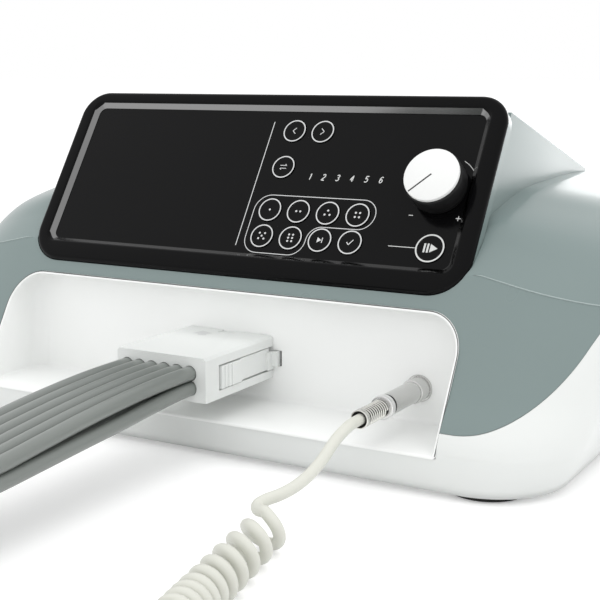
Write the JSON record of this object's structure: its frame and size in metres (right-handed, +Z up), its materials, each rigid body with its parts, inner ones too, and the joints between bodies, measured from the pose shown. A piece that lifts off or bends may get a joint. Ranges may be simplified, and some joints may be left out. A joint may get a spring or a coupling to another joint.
{
  "type": "compression therapy pump",
  "caption": "Twelve-hose compression therapy pump with sloped key panel, pressure knob, front hose bay and a coiled-cord hand switch.",
  "frame": {"origin": "on the table, under the middle of the box round the pump and its hand switch, cords left out", "axes": "+X to the right of someone facing the key panel, +Y to the rear wall, +Z up"},
  "size_m": [0.395, 0.6434, 0.1682],
  "materials": {
    "shell_grey": "satin-gloss moulded shell, blue-grey",
    "shell_white": "gloss moulded plastic, white",
    "panel_black": "high gloss black",
    "matte_black": "fine grained matte black",
    "foot_rubber": "matte rubber",
    "knob_white": "gloss white cap",
    "hose_grey": "soft satin tubing",
    "cord_cream": "satin cord jacket",
    "satin_metal": "satin turned metal",
    "spring_metal": "polished wire",
    "sheet_steel": "zinc plated sheet",
    "cast_metal": "as cast",
    "brass_disc": "machined",
    "board_green": "coated circuit board",
    "tie_black": "woven hook and loop",
    "button_blue": "gloss push button"
  },
  "bodies": {
    "root": {"base_tray": "shell_white", "upper_shell": "shell_grey", "display_housing": "shell_grey", "panel_bezel": "panel_black", "fascia": "panel_black", "bay_insert": "shell_white", "rubber_feet": "foot_rubber", "screws": "satin_metal", "pressure_control": "sheet_steel", "key_board": "board_green", "hose_connector": "shell_white", "hose_manifold": "matte_black", "hose_upper": "hose_grey", "hose_lower": "hose_grey", "hose_upper_roll": "hose_grey", "hose_lower_roll": "hose_grey", "garment_plug_upper": "shell_white", "garment_plug_lower": "shell_white", "roll_tie": "tie_black", "cord_socket": "matte_black", "cord_plug": "satin_metal", "plug_spring": "spring_metal", "plug_sleeve": "matte_black", "cord_lead": "cord_cream", "cord_curls": "cord_cream", "cord_tail": "cord_cream", "grip_top": "shell_white", "grip_bottom": "shell_white", "grip_switch": "matte_black", "grip_relief": "foot_rubber", "mains_inlet": "matte_black", "switch_frame": "matte_black", "vent_grille": "matte_black", "chassis_plate": "sheet_steel", "pump_mounts": "foot_rubber", "air_pump": "cast_metal", "distributor": "shell_white", "distributor_motor": "sheet_steel", "inner_hoses": "hose_grey", "main_board": "board_green"},
    "knob": {"knob_cap": "knob_white", "knob_skirt": "matte_black"},
    "power_rocker": {"power_rocker": "matte_black"},
    "latch_left": {"latch_left": "shell_white"},
    "latch_right": {"latch_right": "shell_white"},
    "grip_button": {"grip_button": "button_blue"},
    "pump_armature": {"pump_armature": "sheet_steel"},
    "distributor_rotor": {"distributor_rotor": "brass_disc"},
    "key_back": {"key_back": "panel_black"},
    "key_forward": {"key_forward": "panel_black"},
    "key_reverse": {"key_reverse": "panel_black"},
    "key_mode_a": {"key_mode_a": "panel_black"},
    "key_mode_b": {"key_mode_b": "panel_black"},
    "key_mode_c": {"key_mode_c": "panel_black"},
    "key_mode_d": {"key_mode_d": "panel_black"},
    "key_mode_e": {"key_mode_e": "panel_black"},
    "key_mode_f": {"key_mode_f": "panel_black"},
    "key_skip": {"key_skip": "panel_black"},
    "key_confirm": {"key_confirm": "panel_black"},
    "key_start": {"key_start": "panel_black"}
  },
  "joints": [
    {"name": "key_back_press", "type": "slide", "parent": "root", "child": "key_back", "axis": [0, 0.8387, -0.5446], "range_m": [0, 0.0008], "stiffness_N_per_m": 400, "springref_m": -0.0005},
    {"name": "key_forward_press", "type": "slide", "parent": "root", "child": "key_forward", "axis": [0, 0.8387, -0.5446], "range_m": [0, 0.0008], "stiffness_N_per_m": 400, "springref_m": -0.0005},
    {"name": "key_reverse_press", "type": "slide", "parent": "root", "child": "key_reverse", "axis": [0, 0.8387, -0.5446], "range_m": [0, 0.0008], "stiffness_N_per_m": 400, "springref_m": -0.0005},
    {"name": "key_mode_a_press", "type": "slide", "parent": "root", "child": "key_mode_a", "axis": [0, 0.8387, -0.5446], "range_m": [0, 0.0008], "stiffness_N_per_m": 400, "springref_m": -0.0005},
    {"name": "key_mode_b_press", "type": "slide", "parent": "root", "child": "key_mode_b", "axis": [0, 0.8387, -0.5446], "range_m": [0, 0.0008], "stiffness_N_per_m": 400, "springref_m": -0.0005},
    {"name": "key_mode_c_press", "type": "slide", "parent": "root", "child": "key_mode_c", "axis": [0, 0.8387, -0.5446], "range_m": [0, 0.0008], "stiffness_N_per_m": 400, "springref_m": -0.0005},
    {"name": "key_mode_d_press", "type": "slide", "parent": "root", "child": "key_mode_d", "axis": [0, 0.8387, -0.5446], "range_m": [0, 0.0008], "stiffness_N_per_m": 400, "springref_m": -0.0005},
    {"name": "key_mode_e_press", "type": "slide", "parent": "root", "child": "key_mode_e", "axis": [0, 0.8387, -0.5446], "range_m": [0, 0.0008], "stiffness_N_per_m": 400, "springref_m": -0.0005},
    {"name": "key_mode_f_press", "type": "slide", "parent": "root", "child": "key_mode_f", "axis": [0, 0.8387, -0.5446], "range_m": [0, 0.0008], "stiffness_N_per_m": 400, "springref_m": -0.0005},
    {"name": "key_skip_press", "type": "slide", "parent": "root", "child": "key_skip", "axis": [0, 0.8387, -0.5446], "range_m": [0, 0.0008], "stiffness_N_per_m": 400, "springref_m": -0.0005},
    {"name": "key_confirm_press", "type": "slide", "parent": "root", "child": "key_confirm", "axis": [0, 0.8387, -0.5446], "range_m": [0, 0.0008], "stiffness_N_per_m": 400, "springref_m": -0.0005},
    {"name": "key_start_press", "type": "slide", "parent": "root", "child": "key_start", "axis": [0, 0.8387, -0.5446], "range_m": [0, 0.0008], "stiffness_N_per_m": 400, "springref_m": -0.0005},
    {"name": "knob_turn", "type": "hinge", "parent": "root", "child": "knob", "pos_m": [0.1014, 0.08284, 0.12571], "axis": [0, 0.8387, -0.5446], "range_deg": [0, 270]},
    {"name": "rocker_tilt", "type": "hinge", "parent": "root", "child": "power_rocker", "pos_m": [0.08, 0.262, 0.044], "axis": [1, 0, 0], "range_deg": [0, 12]},
    {"name": "latch_left_press", "type": "hinge", "parent": "root", "child": "latch_left", "pos_m": [-0.0248, 0.035, 0.0408], "axis": [0, 0, 1], "range_deg": [0, 6], "stiffness_Nm_per_rad": 0.12, "springref_deg": -114.59},
    {"name": "latch_right_press", "type": "hinge", "parent": "root", "child": "latch_right", "pos_m": [0.0208, 0.035, 0.0408], "axis": [0, 0, -1], "range_deg": [0, 6], "stiffness_Nm_per_rad": 0.12, "springref_deg": -114.59},
    {"name": "grip_button_press", "type": "slide", "parent": "root", "child": "grip_button", "axis": [0, -1, 0], "range_m": [0, 0.0025], "stiffness_N_per_m": 600, "springref_m": -0.0005},
    {"name": "armature_stroke", "type": "slide", "parent": "root", "child": "pump_armature", "axis": [1, 0, 0], "range_m": [-0.003, 0.003], "stiffness_N_per_m": 2500},
    {"name": "rotor_spin", "type": "hinge", "parent": "root", "child": "distributor_rotor", "pos_m": [0.01, 0.151, 0.022], "axis": [0, 0, 1], "continuous": true}
  ]
}
